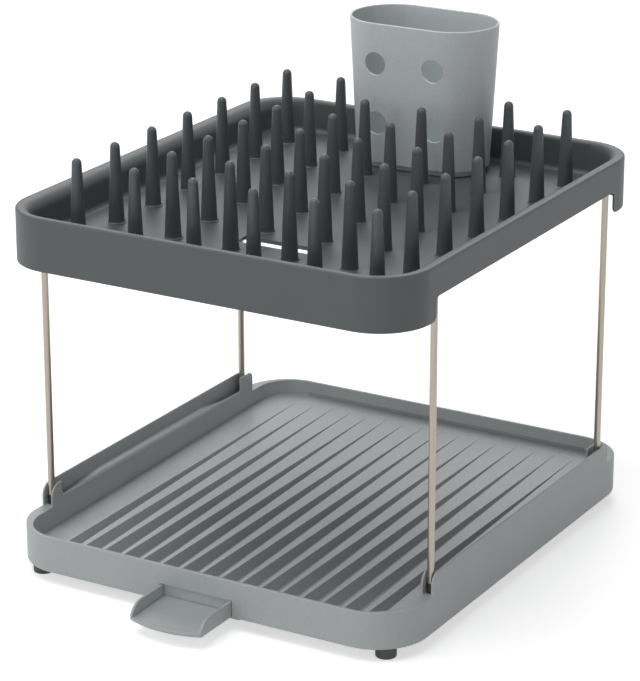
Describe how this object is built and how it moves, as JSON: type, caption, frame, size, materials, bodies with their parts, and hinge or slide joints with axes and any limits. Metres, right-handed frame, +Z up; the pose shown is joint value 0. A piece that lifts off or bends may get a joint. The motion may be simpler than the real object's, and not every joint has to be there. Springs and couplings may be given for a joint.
{
  "type": "two-tier dish rack",
  "caption": "Free-standing rack for dishes: a peg tray on folding wire legs over a ribbed drip tray with a drawer spout, and a lift-out cutlery cup.",
  "frame": {"origin": "on the counter under the middle of the rack's box, with the spout drawn out", "axes": "+Z up, -Y towards the front where the spout comes out, +X to the right seen from the front"},
  "size_m": [0.3154, 0.4048, 0.3532],
  "materials": {
    "peg_tray_plastic": "fine-textured dark slate grey polypropylene",
    "drip_tray_plastic": "fine-textured cool light grey polypropylene",
    "cup_plastic": "fine-textured cool light grey polypropylene",
    "leg_wire": "drawn stainless wire, satin",
    "foot_rubber": "matt dark grey rubber",
    "cap_rubber": "matt black rubber"
  },
  "bodies": {
    "base": {"base_tray": "drip_tray_plastic", "foot_front_left": "foot_rubber", "foot_front_right": "foot_rubber", "foot_rear_left": "foot_rubber", "foot_rear_right": "foot_rubber"},
    "spout": {"spout": "drip_tray_plastic"},
    "upper_tier": {"upper_tray": "peg_tray_plastic", "pegs": "peg_tray_plastic"},
    "cup": {"cutlery_cup": "cup_plastic"},
    "leg_front_left": {"leg_front_left": "leg_wire", "cap_front_left": "cap_rubber"},
    "leg_front_right": {"leg_front_right": "leg_wire", "cap_front_right": "cap_rubber"},
    "leg_rear_left": {"leg_rear_left": "leg_wire", "cap_rear_left": "cap_rubber"},
    "leg_rear_right": {"leg_rear_right": "leg_wire", "cap_rear_right": "cap_rubber"}
  },
  "joints": [
    {"name": "spout_push_in", "type": "slide", "parent": "base", "child": "spout", "axis": [0, 1, 0], "range_m": [0, 0.029]},
    {"name": "upper_tier_lift_off", "type": "slide", "parent": "base", "child": "upper_tier", "axis": [0, 0, 1], "range_m": [0, 0.06]},
    {"name": "cup_lift_out", "type": "slide", "parent": "upper_tier", "child": "cup", "axis": [0, 0, 1], "range_m": [0, 0.12]},
    {"name": "leg_front_left_fold", "type": "hinge", "parent": "upper_tier", "child": "leg_front_left", "pos_m": [-0.15305, -0.10785, 0.2585], "axis": [1, 0, 0], "range_deg": [0, 90]},
    {"name": "leg_front_right_fold", "type": "hinge", "parent": "upper_tier", "child": "leg_front_right", "pos_m": [0.15305, -0.10785, 0.2585], "axis": [1, 0, 0], "range_deg": [0, 90]},
    {"name": "leg_rear_left_fold", "type": "hinge", "parent": "upper_tier", "child": "leg_rear_left", "pos_m": [-0.15305, 0.15115, 0.2525], "axis": [-1, 0, 0], "range_deg": [0, 90]},
    {"name": "leg_rear_right_fold", "type": "hinge", "parent": "upper_tier", "child": "leg_rear_right", "pos_m": [0.15305, 0.15115, 0.2525], "axis": [-1, 0, 0], "range_deg": [0, 90]}
  ]
}
